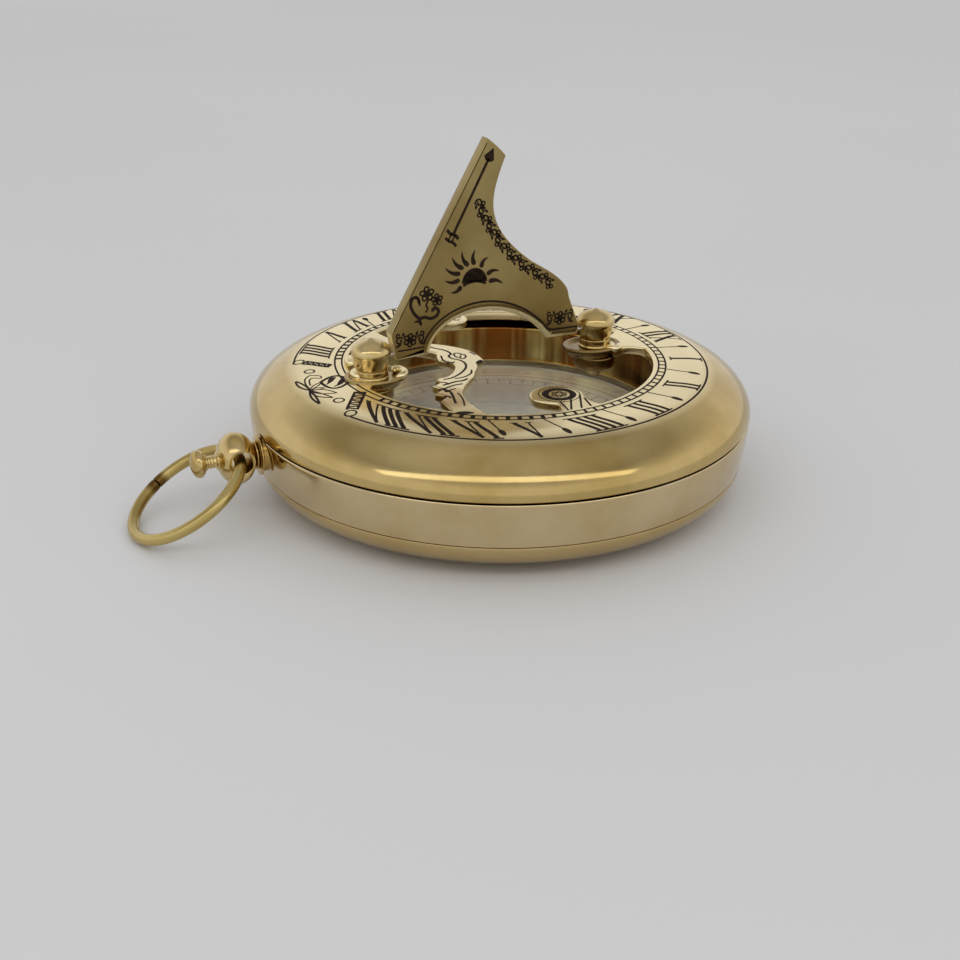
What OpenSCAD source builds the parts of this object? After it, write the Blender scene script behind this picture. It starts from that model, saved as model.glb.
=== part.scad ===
// Pocket sundial compass: a round brass case with a domed dial lid, a folding
// gnomon between two acorn posts, a compass bowl under the lid's window, and a
// pendant with a wire bow. Millimetres. The origin is the middle of the flat of
// the back, +Z is up, +Y is the noon end of the dial, and the pendant is at -Y.

/* [Case] */
// Diameter of the case at the seam under the lid
case_d = 75.8; // [75:0.1:78]
// Height of the back cover
cover_h = 5.7; // [5:0.1:6]
// Height of the band between the two seams
band_h = 6.8; // [6.6:0.1:7.4]
// Height of the lid from its seam to the hour ring
lid_h = 6.5; // [6.2:0.1:7]
// Wall thickness of the lid and the covers
wall = 1.3; // [1.1:0.1:1.4]
// Radius of the window in the lid
window_r = 23.1; // [22.8:0.1:23.4]

/* [Compass] */
// Inner radius of the bowl above the glass
bowl_r = 25.8; // [25.4:0.1:26.2]
// Thickness of the glass
glass_t = 1.2; // [1:0.1:1.4]
// Length of the needle from point to point
needle_l = 39; // [34:1:42]

/* [Gnomon] */
// Thickness of the gnomon plate
plate_t = 2; // [1.6:0.1:2.2]
// Height of the hinge axis over the lid's window
hinge_rise = 2.95; // [2.9:0.05:3]
// Distance of the south post from the middle
south_y = 20.7; // [20.7:0.05:20.8]
// Distance of the north post from the middle
north_y = 16.3; // [16.3:0.05:16.5]

/* [Pendant] */
// Distance of the pendant ball from the middle
ball_y = 41.7; // [41.6:0.1:42.0]
// Height of the pendant's axis
pendant_z = 9.7; // [9.6:0.1:9.8]
// Radius of the bow at the middle of its wire
bow_r = 9.0; // [8.8:0.1:9.2]
// Thickness of the bow's wire
bow_wire = 1.7; // [1.5:0.1:1.8]

/* [Hidden] */
$fn = 96;

brass = [0.80, 0.68, 0.42];
pale_brass = [0.84, 0.75, 0.56];
dark_brass = [0.55, 0.43, 0.22];

// Case
case_r = case_d / 2;
cover_r = case_r - 0.8;
cover_flat_r = 26;
spigot_r = case_r - 2.1;
spigot_t = 1.1;
spigot_h = 1.5;
lid_seam_z = cover_h + band_h;
lid_lip = 0.3;
lid_inner_r = case_r - 1.2;
shelf_z = lid_seam_z + 0.5;
shelf_top_z = lid_seam_z + 1.7;
shelf_r = case_r - 4.1;
ring_z = lid_seam_z + lid_h;
dome_start_r = 28;
dome_a = case_r + 0.1 - dome_start_r;
dome_b = lid_h - lid_lip;
rim_rise = 0.2;
rim_z = ring_z + rim_rise;

// Tabs of the lid that reach into the window
tab_top_z = rim_z - 0.1;
tab_t = 1.4;
tab_disc_r = 4.1;
tab_reach = 0.5;
root_r = window_r + 1.2;

// Compass
flange_t = 1.4;
flange_r = case_r - 3;
bowl_wall = 1.1;
bowl_floor_z = cover_h - 1.7;
bowl_floor_t = 1;
glass_z = lid_seam_z - 4.3;
glass_r = bowl_r - 0.1;
seat_r = bowl_r - 1.2;
card_z = bowl_floor_z + bowl_floor_t;
card_t = 0.4;
card_r = seat_r - 0.2;
pivot_z = glass_z - 0.9;
cap_r = 1.3;
cap_h = 1.3;
needle_w = 5.2;
needle_t = 0.35;

// Posts and hinge
hinge_z = rim_z + hinge_rise;
post_h = 3.7;
drum_r = 1.95;
neck_r = 1.85;
bulb_r = 2.65;
cap_r_out = 2.95;
acorn_h = 2.3;
stud_r = 1.1;
nut_r = 3.2;
nut_h = 2.2;
pin_r = 0.45;
pin_clearance = 0.05;
foot_drop = 0.7;
foot_south = -17.2;
foot_north = 12.9;

// Pendant
collar_r = 3.0;
tenon_r = 1.2;
ball_r = 3.8;
ball_length = 2.85;
ball_half = 2.6;
ball_side = 3.0;
cross_r = 1.6;
seat_depth = 0.45;
finial_r = 2.05;
bow_y = ball_y - 0.3;
bow_z = pendant_z + 0.3;
bow_droop = asin((bow_z - bow_wire / 2 - 0.02) / (2 * bow_r));

// A smooth curve through the points, with n steps between each pair
function spline_point(a, b, c, d, t) =
  0.5 * (2 * b + (c - a) * t + (2 * a - 5 * b + 4 * c - d) * t * t
    + (3 * b - a - 3 * c + d) * t * t * t);
function spline(p, n = 6) = [
  for (i = [0 : len(p) - 2], k = [0 : n - 1])
    spline_point(p[max(i - 1, 0)], p[i], p[i + 1], p[min(i + 2, len(p) - 1)], k / n),
  p[len(p) - 1]
];
// A cubic curve with the end points a and d and the handles b and c
function bezier(a, b, c, d, n = 10) = [
  for (k = [0 : n])
    let (t = k / n)
      pow(1 - t, 3) * a + 3 * pow(1 - t, 2) * t * b
        + 3 * (1 - t) * t * t * c + pow(t, 3) * d
];
// Part of an ellipse about the point c, from the angle a0 to the angle a1
function oval(c, a, b, a0, a1, n = 14) = [
  for (k = [0 : n])
    let (t = a0 + (a1 - a0) * k / n)
      [c[0] + a * cos(t), c[1] + b * sin(t)]
];

// Back cover: a shallow pressed dish with a flat middle and a rim that pushes
// into the band
module back_cover() {
  inner_flat = cover_flat_r - 0.4;
  color(brass)
    rotate_extrude()
      polygon(concat(
        [[0, 0]],
        oval([cover_flat_r, cover_h], cover_r - cover_flat_r, cover_h, 270, 360),
        [[spigot_r, cover_h], [spigot_r, cover_h + spigot_h],
          [spigot_r - spigot_t, cover_h + spigot_h]],
        oval([inner_flat, cover_h], spigot_r - spigot_t - inner_flat, cover_h - wall,
          360, 270),
        [[0, wall]]
      ));
}

// Band: the middle of the case, with the shelf for the bowl, the spigot for the
// lid and the hole for the pendant's tenon
module case_band() {
  color(pale_brass)
    difference() {
      rotate_extrude()
        polygon(concat(
          [[spigot_r, cover_h]],
          bezier([cover_r, cover_h], [cover_r + 0.45, cover_h + band_h * 0.3],
            [case_r, cover_h + band_h * 0.6], [case_r, lid_seam_z]),
          [[lid_inner_r, lid_seam_z], [lid_inner_r, lid_seam_z + lid_lip],
            [lid_inner_r - 0.4, shelf_top_z], [shelf_r, shelf_top_z],
            [shelf_r, shelf_z], [spigot_r, shelf_z]]
        ));
      translate([0, 0, pendant_z])
        rotate([90, 0, 0])
          cylinder(r = tenon_r, h = case_r + 1);
    }
}

// Outline of the bird: a curved bridge from the west rim to the east rim, with
// a head and a beak in the middle and feather notches on its neck
module bird_outline() {
  north_edge = spline([
    [-20.8, -13.2], [-18, -12.7], [-15.6, -12], [-13, -10], [-10.9, -7.6], [-8, -4.6],
    [-5, -2.8], [-0.9, -2.9]
  ]);
  breast = spline([
    [1.2, -4.5], [3.3, -5.6], [5.6, -7.4], [8.3, -9.9], [11, -11.3], [14.8, -11.6],
    [20.4, -10.9]
  ]);
  back = [[19, -15.1], [16.6, -14.9], [13.6, -15.6], [13.3, -14.3], [10.2, -15.1],
    [10, -13.9], [6.9, -14], [7.1, -12.9]];
  hook = spline([
    [4.9, -12.7], [4.5, -10.8], [2.8, -8.9], [0.2, -7.7], [-2.2, -8.1], [-4.2, -7.8],
    [-5.7, -8], [-9, -10.4], [-12.4, -13.2], [-15.4, -15.1], [-18.4, -16.3]
  ]);
  polygon(concat(north_edge, breast, back, hook));
}

// Outlines of the tabs that carry the two posts, seen from above
module south_tab_outline() {
  translate([0, tab_reach - south_y])
    scale([1, 1 + tab_reach / tab_disc_r])
      circle(r = tab_disc_r);
  polygon(spline([
    [-2.4, -22.6], [-3.6, -22.2], [-5, -21.9], [-6.8, -21.2], [-8.1, -20.9], [-9.3, -20.5],
    [-9.9, -19.6], [-9.3, -18.8], [-8.3, -18.9], [-7.7, -19.6], [-6, -20.2], [-4.4, -20.6],
    [-2.4, -20.9], [-2.4, -22.6]
  ], 4));
  translate([-3, -root_r - 0.1])
    square([6, 4]);
}
module north_tab_outline() {
  translate([0, north_y - tab_reach])
    scale([1, 1 + tab_reach / tab_disc_r])
      circle(r = tab_disc_r);
  polygon(concat(
    spline([[-4, north_y + 1], [-3, north_y + 4.2], [-4.4, root_r - 0.6]]),
    spline([[4.4, root_r - 0.6], [3, north_y + 4.2], [4, north_y + 1]])
  ));
}
// Outlines of the loop on the east rim and of the knob on the west rim
module loop_outline() {
  translate([17.4, 0.8])
    circle(r = 3.9);
  polygon(concat(
    spline([[17.6, 4.6], [20.8, 3], [root_r - 0.6, 4]]),
    spline([[root_r - 0.6, -1.4], [21.4, -0.6], [18.2, 0]])
  ));
}
module knob_outline() {
  translate([-21, 0.6])
    circle(r = 2.9);
}

// Dial lid: the domed bezel with the hour ring, its window, and the tabs that
// are cast in one piece with it
module dial_lid() {
  inner_a = lid_inner_r - dome_start_r;
  inner_b = dome_b - wall;
  color(brass)
    difference() {
      union() {
        rotate_extrude()
          polygon(concat(
            [[lid_inner_r, lid_seam_z], [case_r, lid_seam_z],
              [case_r + 0.1, lid_seam_z + lid_lip]],
            oval([dome_start_r, lid_seam_z + lid_lip], dome_a, dome_b, 4, 90, 18),
            [for (k = [1 : 6])
              let (t = k / 6)
                [dome_start_r - (dome_start_r - window_r - 0.2) * t,
                  ring_z + (rim_rise - 0.02) * t * t]],
            [[window_r, rim_z - 0.25], [window_r, ring_z - wall]],
            oval([dome_start_r, lid_seam_z + lid_lip], inner_a, inner_b, 90, 0, 12)
          ));
        translate([0, 0, tab_top_z - tab_t])
          linear_extrude(tab_t)
            intersection() {
              union() {
                bird_outline();
                south_tab_outline();
                north_tab_outline();
                loop_outline();
                knob_outline();
              }
              circle(r = root_r);
            }
      }
      for (y = [-south_y, north_y])
        translate([0, y, tab_top_z - tab_t - 1])
          cylinder(r = stud_r, h = tab_t + 2);
    }
}

// Compass bowl: a brass cup that hangs by its flange on the band's shelf, with
// a step that the glass sits on
module compass_bowl() {
  color(brass)
    difference() {
      rotate_extrude()
        polygon([
          [0, bowl_floor_z], [bowl_r + bowl_wall, bowl_floor_z],
          [bowl_r + bowl_wall, shelf_top_z], [flange_r, shelf_top_z],
          [flange_r, shelf_top_z + flange_t - 0.3],
          [flange_r - 0.5, shelf_top_z + flange_t],
          [bowl_r + 0.3, shelf_top_z + flange_t], [bowl_r, shelf_top_z + flange_t - 0.3],
          [bowl_r, glass_z], [seat_r, glass_z], [seat_r, card_z], [0, card_z]
        ]);
      translate([0, 0, bowl_floor_z - 1])
        cylinder(r = 0.6, h = bowl_floor_t + 2, $fn = 32);
    }
}

// Card: the printed disc on the bowl's floor
module compass_card() {
  color("silver")
    translate([0, 0, card_z])
      difference() {
        cylinder(r = card_r, h = card_t);
        translate([0, 0, -1])
          cylinder(r = 0.6, h = card_t + 2, $fn = 32);
      }
}

// Pivot: a steel pin pressed into the floor, turned to a point
module pivot_pin() {
  color("lightsteelblue")
    rotate_extrude($fn = 32)
      polygon([
        [0, bowl_floor_z], [0.6, bowl_floor_z], [0.6, pivot_z - 1.3],
        [0.05, pivot_z], [0, pivot_z]
      ]);
}

// Needle: a flat steel lozenge with a hole for its cap
module compass_needle() {
  color("steelblue")
    translate([0, 0, pivot_z - 0.7])
      linear_extrude(needle_t)
        difference() {
          polygon([
            [0, needle_l / 2], [-needle_w / 2, 0], [0, -needle_l / 2], [needle_w / 2, 0]
          ]);
          circle(r = cap_r, $fn = 48);
        }
}

// Cap: the brass cup in the needle's middle that turns on the pivot's point
module needle_cap() {
  base_z = pivot_z - 0.8;
  color(brass)
    rotate_extrude($fn = 48)
      polygon([
        [0.75, base_z], [cap_r, base_z], [cap_r, base_z + cap_h - 0.4],
        [cap_r - 0.4, base_z + cap_h], [0, base_z + cap_h], [0, pivot_z + 0.03],
        [0.1, pivot_z + 0.03]
      ]);
}

// Glass: a flat round pane
module compass_glass() {
  color([0.8, 0.88, 0.86, 0.4])
    translate([0, 0, glass_z])
      cylinder(r = glass_r, h = glass_t);
}

// Ring: the sprung brass wire that holds the glass down
module glass_ring() {
  ring_w = 0.8;
  color(dark_brass)
    rotate_extrude()
      translate([bowl_r - ring_w, glass_z + glass_t])
        square([ring_w, 0.7]);
}

// A post, turned in one piece: stud, drum, neck and acorn cap. The bore for the
// hinge pin is on the side that the turn faces.
module post(y, turn) {
  base_z = tab_top_z;
  shoulder = base_z + post_h;
  color(brass)
    translate([0, y, 0])
      difference() {
        rotate_extrude($fn = 64)
          polygon(concat(
            [[0, base_z - tab_t - nut_h - 0.3], [stud_r, base_z - tab_t - nut_h - 0.3],
              [stud_r, base_z], [drum_r + 0.35, base_z], [drum_r + 0.35, base_z + 0.25],
              [drum_r, base_z + 0.4], [drum_r, base_z + 1.3], [neck_r, base_z + 1.4]],
            bezier([drum_r + 0.05, base_z + 1.5], [bulb_r - 0.1, base_z + 1.7],
              [bulb_r, base_z + 2.3], [bulb_r, shoulder - 0.2], 7),
            bezier([cap_r_out, shoulder + 0.1], [cap_r_out - 0.05, shoulder + 1.35],
              [1.45, shoulder + 1.8], [0, shoulder + acorn_h], 12)
          ));
        translate([0, 0, hinge_z])
          rotate([90 * turn, 0, 0])
            translate([0, 0, 0.75])
              cylinder(r = pin_r + pin_clearance, h = cap_r_out, $fn = 32);
      }
}
module south_post() {
  post(-south_y, -1);
}
module north_post() {
  post(north_y, 1);
}

// A round nut under the lid that holds a post's stud
module post_nut(y) {
  color(dark_brass)
    translate([0, y, tab_top_z - tab_t - nut_h])
      difference() {
        cylinder(r = nut_r, h = nut_h, $fn = 48);
        translate([0, 0, -1])
          cylinder(r = stud_r, h = nut_h + 2, $fn = 48);
      }
}
module south_post_nut() {
  post_nut(-south_y);
}
module north_post_nut() {
  post_nut(north_y);
}

// Outline of the gnomon: across is the distance to the north, and up is the
// height over the hinge axis. The straight edge on the left is the style.
function gnomon_outline() = concat(
  [[foot_south, -foot_drop], [-18, 3.3], [-2.85, 30.35]],
  bezier([0, 27.75], [-2.4, 21.75], [-3.8, 18], [4.7, 11.7], 14),
  bezier([4.7, 11.7], [8, 9.8], [10.7, 8], [10.95, 5.9], 8),
  [[11.05, 5.5], [foot_north - 0.1, 1], [foot_north, -foot_drop]],
  [for (t = [0 : 10])
    let (w = 11.1 * (1 - t / 10))
      [-3.4 + w, 4.95 - 13.73 + sqrt(13.73 * 13.73 - w * w)]],
  oval([-3.4, -foot_drop], 8.3, 5.65, 90, 180, 12)
);

// Gnomon: the cast plate, drilled in both feet for the hinge pins
module gnomon_plate() {
  color(brass)
    translate([0, 0, hinge_z])
      difference() {
        translate([plate_t / 2, 0, 0])
          rotate([90, 0, -90])
            mirror([1, 0, 0])
              linear_extrude(plate_t)
                polygon(gnomon_outline());
        for (y = [foot_south - 1, foot_north - 1.9])
          translate([0, y, 0])
            rotate([-90, 0, 0])
              cylinder(r = pin_r, h = 2.9, $fn = 32);
      }
}

// A hinge pin: pressed into a foot of the gnomon, turning in a post
module hinge_pin(y0, y1) {
  color("lightgray")
    translate([0, y0, hinge_z])
      rotate([-90, 0, 0])
        cylinder(r = pin_r, h = y1 - y0, $fn = 32);
}
module south_hinge_pin() {
  hinge_pin(-south_y + 0.85, foot_south + 1.9);
}
module north_hinge_pin() {
  hinge_pin(foot_north - 1.9, north_y - 0.85);
}

// Turned pieces of the pendant lie along the Y axis, outward from the band
module along_pendant() {
  translate([0, 0, pendant_z])
    rotate([90, 0, 0])
      children();
}

// Collar: the stepped bush on the band, with the tenon that goes through it
module pendant_collar() {
  face = ball_y - ball_half;
  color(brass)
    difference() {
      along_pendant()
        rotate_extrude($fn = 64)
          polygon([
            [0, spigot_r - 1.8], [tenon_r, spigot_r - 1.8], [tenon_r, case_r - 1.4],
            [collar_r - 0.5, case_r - 1.4], [collar_r - 0.5, case_r + 0.25],
            [collar_r, case_r + 0.4], [collar_r, case_r + 0.55],
            [collar_r - 0.6, case_r + 0.7], [1.5, case_r + 0.75], [1.5, face - 0.4],
            [2.1, face - 0.3], [2.1, face - 0.1], [1.55, face],
            [0.9, face], [0.9, face + seat_depth], [0, face + seat_depth]
          ]);
      difference() {
        translate([0, 0, cover_h])
          rotate_extrude()
            polygon(concat(
              [[spigot_r, 0]],
              bezier([cover_r, 0], [cover_r + 0.45, band_h * 0.3],
                [case_r, band_h * 0.6], [case_r, band_h]),
              [[spigot_r, band_h]]
            ));
        along_pendant()
          cylinder(r = tenon_r, h = case_r + 1);
      }
    }
}

// Nut inside the band on the collar's tenon
module pendant_nut() {
  color(dark_brass)
    along_pendant()
      translate([0, 0, spigot_r - 1.5])
        difference() {
          cylinder(r = 2, h = 1.43, $fn = 6);
          translate([0, 0, -1])
            cylinder(r = tenon_r, h = 4, $fn = 48);
        }
}

// Ball: flattened at its sides, drilled across for the bow, and at both ends
// for its neighbours
module pendant_ball() {
  end_turn = acos(ball_half / ball_length);
  side_w = ball_r - ball_side + 1;
  color(brass)
    difference() {
      along_pendant()
        rotate_extrude()
          polygon(concat(
            [[0.9, ball_y - ball_half]],
            oval([0, ball_y], ball_r, ball_length, end_turn - 90, 90 - end_turn, 25),
            [[0.8, ball_y + ball_half], [0.8, ball_y + ball_half - seat_depth],
              [0, ball_y + ball_half - seat_depth],
              [0, ball_y - ball_half + seat_depth],
              [0.9, ball_y - ball_half + seat_depth]]
          ));
      translate([0, -bow_y, bow_z])
        rotate([0, 90, 0])
          cylinder(r = cross_r, h = 2 * ball_r + 2, center = true, $fn = 64);
      for (side = [-1, 1])
        translate([side * (ball_side + side_w / 2), -ball_y, pendant_z])
          cube([side_w, 3 * ball_r, 3 * ball_r], center = true);
    }
}

// Finial: the turned knob screwed into the ball's outer end
module pendant_finial() {
  root = ball_y + ball_half;
  color(brass)
    along_pendant()
      rotate_extrude($fn = 64)
        polygon(concat(
          [[0, root - seat_depth], [0.8, root - seat_depth], [0.8, root], [1.3, root],
            [1.3, root + 0.2], [0.9, root + 0.4], [0.9, root + 1.55],
            [1.1, root + 1.75]],
          oval([0, root + 2.85], finial_r, 1.15, -50, 75, 14),
          [[0.4, root + 4.02], [0, root + 4.05]]
        ));
}

// Bow: the wire ring through the ball, resting on the surface under the case
module bow_ring() {
  color(dark_brass)
    translate([0, -bow_y, bow_z])
      rotate([bow_droop, 0, 0])
        translate([0, -bow_r, 0])
          rotate_extrude($fn = 96)
            translate([bow_r, 0])
              circle(r = bow_wire / 2, $fn = 32);
}

back_cover();
case_band();
dial_lid();
compass_bowl();
compass_card();
pivot_pin();
compass_needle();
needle_cap();
compass_glass();
glass_ring();
south_post();
north_post();
south_post_nut();
north_post_nut();
gnomon_plate();
south_hinge_pin();
north_hinge_pin();
pendant_collar();
pendant_nut();
pendant_ball();
pendant_finial();
bow_ring();
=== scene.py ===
import math
import bmesh
import bpy
import numpy as np
from mathutils import Matrix, Vector
from mathutils.geometry import delaunay_2d_cdt


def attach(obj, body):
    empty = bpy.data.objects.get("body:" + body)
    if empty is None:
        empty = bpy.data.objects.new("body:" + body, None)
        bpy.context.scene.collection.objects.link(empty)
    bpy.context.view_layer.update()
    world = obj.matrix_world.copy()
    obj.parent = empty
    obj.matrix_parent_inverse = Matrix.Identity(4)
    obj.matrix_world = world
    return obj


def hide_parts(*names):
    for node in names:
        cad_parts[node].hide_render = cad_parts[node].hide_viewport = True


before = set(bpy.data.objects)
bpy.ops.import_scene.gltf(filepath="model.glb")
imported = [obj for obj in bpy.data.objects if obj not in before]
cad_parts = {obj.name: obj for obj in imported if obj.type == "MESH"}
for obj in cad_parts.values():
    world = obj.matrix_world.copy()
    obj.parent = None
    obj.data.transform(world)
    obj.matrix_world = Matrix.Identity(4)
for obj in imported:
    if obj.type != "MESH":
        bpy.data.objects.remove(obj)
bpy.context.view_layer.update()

# The camera looks down on the dial from the east-south-east. Its place is given
# by the point it turns about, in millimetres, and by where that point lies in a
# picture 960 pixels wide.
focal_px, picture_px, sensor_mm = 1400.0, 960.0, 36.0
turn_point = np.array([0.0, 0.0, 16.36])
turn_point_px = (499.82, 375.16)
distance = 214.44
azimuth, elevation, roll = np.radians([64.7, 20.07, 0.83])
towards_camera = np.array([math.sin(azimuth) * math.cos(elevation),
                           -math.cos(azimuth) * math.cos(elevation), math.sin(elevation)])
right = np.array([math.cos(azimuth), math.sin(azimuth), 0.0])
looking = np.array([right, -np.cross(right, -towards_camera), -towards_camera])
yaw = math.atan((turn_point_px[0] - picture_px / 2) / focal_px)
pitch = math.atan((turn_point_px[1] - picture_px / 2) / focal_px * math.cos(yaw))
looking = (
    np.array(Matrix.Rotation(yaw, 3, "Y"))
    @ np.array(Matrix.Rotation(-pitch, 3, "X"))
    @ np.array(Matrix.Rotation(roll, 3, "Z"))
    @ looking
)


def add_object(name, data):
    """A new object of the scene that shows the data."""
    thing = bpy.data.objects.new(name, data)
    bpy.context.scene.collection.objects.link(thing)
    return thing


camera_data = bpy.data.cameras.new("camera")
camera_data.sensor_width = sensor_mm
camera_data.lens = focal_px / picture_px * sensor_mm
camera_data.clip_start = 0.005
camera = add_object("camera", camera_data)
camera_turn = Matrix((looking[0], -looking[1], -looking[2])).transposed()
camera_place = (turn_point + distance * towards_camera) / 1000
camera.matrix_world = Matrix.Translation(camera_place) @ camera_turn.to_4x4()
bpy.context.scene.camera = camera

# The studio: a pale floor, a pale surround that the metal and the glass see as
# the camera does and that dims above the horizon, and one long soft lamp behind
# the camera that draws the bright streak along the dome and the acorns.
bpy.context.scene.view_settings.view_transform = "Standard"
floor_half, floor_z = 3.0, -0.00002
floor_data = bpy.data.meshes.new("floor")
floor_data.from_pydata(
    [(x * floor_half, y * floor_half, floor_z) for x, y in ((-1, -1), (1, -1), (1, 1), (-1, 1))],
    [], [(0, 1, 2, 3)])
floor = add_object("floor", floor_data)


class Nodes:
    """The node tree of a new material or world, with short calls to fill it."""

    def __init__(self, name, owners=bpy.data.materials):
        self.owner = owners.new(name)
        self.owner.use_nodes = True
        self.tree = self.owner.node_tree

    def feed(self, node, values):
        """Numbers, colours or other nodes' outputs for the inputs that are named."""
        for key, value in values.items():
            if isinstance(value, bpy.types.NodeSocket):
                self.tree.links.new(value, node.inputs[key])
            else:
                node.inputs[key].default_value = value

    def surface(self, **values):
        """Feeds the material's shader; its inputs are named with _ for a space."""
        self.feed(self.tree.nodes["Principled BSDF"],
                  {key.replace("_", " "): value for key, value in values.items()})

    def add(self, kind, values, **settings):
        """A new node, what its inputs are fed, and its settings."""
        node = self.tree.nodes.new("ShaderNode" + kind)
        for key, value in settings.items():
            setattr(node, key, value)
        self.feed(node, values)
        return node

    def where(self, *scale):
        """Object coordinates, stretched by a scale for each direction."""
        place = self.add("TexCoord", {}).outputs["Object"]
        return self.add("Mapping", {"Vector": place, "Scale": scale}).outputs["Vector"]

    def noise(self, vector, scale, detail, roughness):
        return self.add("TexNoise", {"Vector": vector, "Scale": scale, "Detail": detail,
                                     "Roughness": roughness}).outputs["Fac"]

    def ramp(self, factor, *stops):
        """Colours or greys at their places between 0 and 1."""
        node = self.add("ValToRGB", {"Fac": factor})
        elements = node.color_ramp.elements
        for _ in stops[2:]:
            elements.new(0.5)
        for element, (position, colour) in zip(elements, stops):
            element.position = position
            element.color = (*np.broadcast_to(colour, 3), 1.0)
        return node.outputs["Color"]

    def clouds(self, vector, scale, detail, roughness, low, high, start=0.3, end=0.7):
        """Noise turned into colours or greys from a low to a high one."""
        return self.ramp(self.noise(vector, scale, detail, roughness), (start, low), (end, high))

    def mix(self, factor, one, two, blend="MIX"):
        """Two colours blended by a factor."""
        return self.add("Mix", {0: factor, 6: one, 7: two}, data_type="RGBA",
                        blend_type=blend).outputs[2]

    def slope(self, value, start, end, top=1.0):
        """Rises from 0 to its top as the value goes from a start to an end."""
        return self.add("MapRange", {"Value": value, "From Min": start, "From Max": end,
                                     "To Max": top}).outputs["Result"]

    def bump(self, height, distance, strength, under=None):
        """A normal bent by a height, on top of another bump's if there is one."""
        values = {"Height": height, "Distance": distance, "Strength": strength}
        return self.add("Bump", {**values, "Normal": under} if under else values).outputs["Normal"]


paper = Nodes("studio_floor")
paper.surface(
    Base_Color=paper.clouds(paper.where(1, 1, 1), 3.0, 3.0, 0.5, 0.78, 0.82),
    Roughness=0.6, Specular_IOR_Level=0.2)
floor_data.materials.append(paper.owner)

sky = Nodes("surround", bpy.data.worlds)
bpy.context.scene.world = sky.owner
sky.tree.nodes.clear()
path = sky.add("LightPath", {}).outputs
mirrored = sky.add("Math", {0: path["Is Glossy Ray"], 1: path["Is Transmission Ray"]},
                   operation="ADD", use_clamp=True).outputs[0]
seen = sky.add("Math", {0: path["Is Camera Ray"], 1: mirrored},
               operation="ADD", use_clamp=True).outputs[0]
sky_way = sky.add("TexCoord", {}).outputs["Generated"]
sky_height = sky.add("SeparateXYZ", {0: sky_way}).outputs["Z"]
sky_seen = sky.ramp(sky_height, (0.40, (0.80, 0.80, 0.81)), (0.74, (0.38, 0.38, 0.39)),
                    (0.95, (0.54, 0.54, 0.55)))
pale_sky = sky.add("Background", {"Color": sky_seen}).outputs[0]
dim_sky = sky.add("Background", {"Color": (0.80, 0.80, 0.81, 1.0), "Strength": 0.78}).outputs[0]
both_skies = sky.add("MixShader", {"Fac": seen, 1: dim_sky, 2: pale_sky}).outputs[0]
sky.add("OutputWorld", {"Surface": both_skies})

lamp_place, lamp_aim = Vector((0.52, -0.20, 0.70)), Vector((0, 0, 0.012))
lamp_data = bpy.data.lights.new("behind_camera", "AREA")
lamp_data.shape = "RECTANGLE"
lamp_data.size, lamp_data.size_y, lamp_data.energy = 2.0, 0.22, 1.7
lamp = add_object("behind_camera", lamp_data)
lamp.matrix_world = (Matrix.Translation(lamp_place)
                     @ (lamp_place - lamp_aim).to_track_quat("Z", "Y").to_matrix().to_4x4())

# Back cover: a shallow dish pressed from brass sheet, with a flat middle that
# the dial lies on, polished all over and pushed into the band by its spigot.
cover_r, cover_flat_r, cover_top, sheet = 37.1, 26.0, 5.7, 1.3
spigot_r, spigot_wall, spigot_height = 35.8, 1.1, 1.5


def oval(centre, radii, first, last, count):
    """Points on an ellipse about a centre, from one angle in degrees to another."""
    turn = np.radians(np.linspace(first, last, count))
    return np.c_[centre[0] + radii[0] * np.cos(turn), centre[1] + radii[1] * np.sin(turn)]


def solid(name, points, faces, look, sharp=35.0, body="case"):
    """An object from points in millimetres and faces: doubles are merged, faces
    turned outward, and edges sharper than an angle in degrees left crisp. Its
    look is a material, the slot in the record, which is not used, and the nodes it stands for."""
    material, slot, *nodes = look
    mesh = bpy.data.meshes.new(name)
    mesh.from_pydata((np.asarray(points) / 1000).tolist(), [], faces)
    work = bmesh.new()
    work.from_mesh(mesh)
    bmesh.ops.remove_doubles(work, verts=work.verts, dist=2e-7)
    bmesh.ops.recalc_face_normals(work, faces=work.faces)
    work.to_mesh(mesh)
    work.free()
    mesh.polygons.foreach_set("use_smooth", np.ones(len(mesh.polygons), bool))
    mesh.set_sharp_from_angle(angle=math.radians(sharp))
    mesh.materials.append(material)
    piece = add_object(name, mesh)
    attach(piece, body)
    if nodes:
        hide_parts(*nodes)
    return piece


def grid_faces(rows, columns, wrap_rows, first=0):
    """Quads between neighbouring points of a grid whose columns run round; its
    last row is joined to the first where it wraps."""
    i = np.arange(rows if wrap_rows else rows - 1)[:, None]
    j = np.arange(columns)[None]
    i2, j2 = (i + 1) % rows, (j + 1) % columns
    corners = [i * columns + j, i2 * columns + j, i2 * columns + j2, i * columns + j2]
    return (np.stack(corners, -1).reshape(-1, 4) + first).tolist()


def turned(name, profile, look, at=(0, 0, 0), steps=192, sharp=35.0, stretch=(1, 1), out=False):
    """A turned piece: a profile of (radius, length) points carried round an axis
    that runs up, or out along the pendant, on a circle that may be stretched. A
    profile is joined end to start, unless both ends lie on the axis."""
    profile = np.asarray(profile, float)
    turn = np.linspace(0, 2 * np.pi, steps, endpoint=False)
    radius, length = profile[:, :1], profile[:, 1:] + 0 * turn
    one, two = radius * np.cos(turn) * stretch[0], radius * np.sin(turn) * stretch[1]
    points = np.stack((one, -length, two) if out else (one, two, length), -1) + at
    closed = profile[0, 0] > 0 or profile[-1, 0] > 0
    return solid(name, points.reshape(-1, 3), grid_faces(len(profile), steps, closed), look, sharp)


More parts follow.
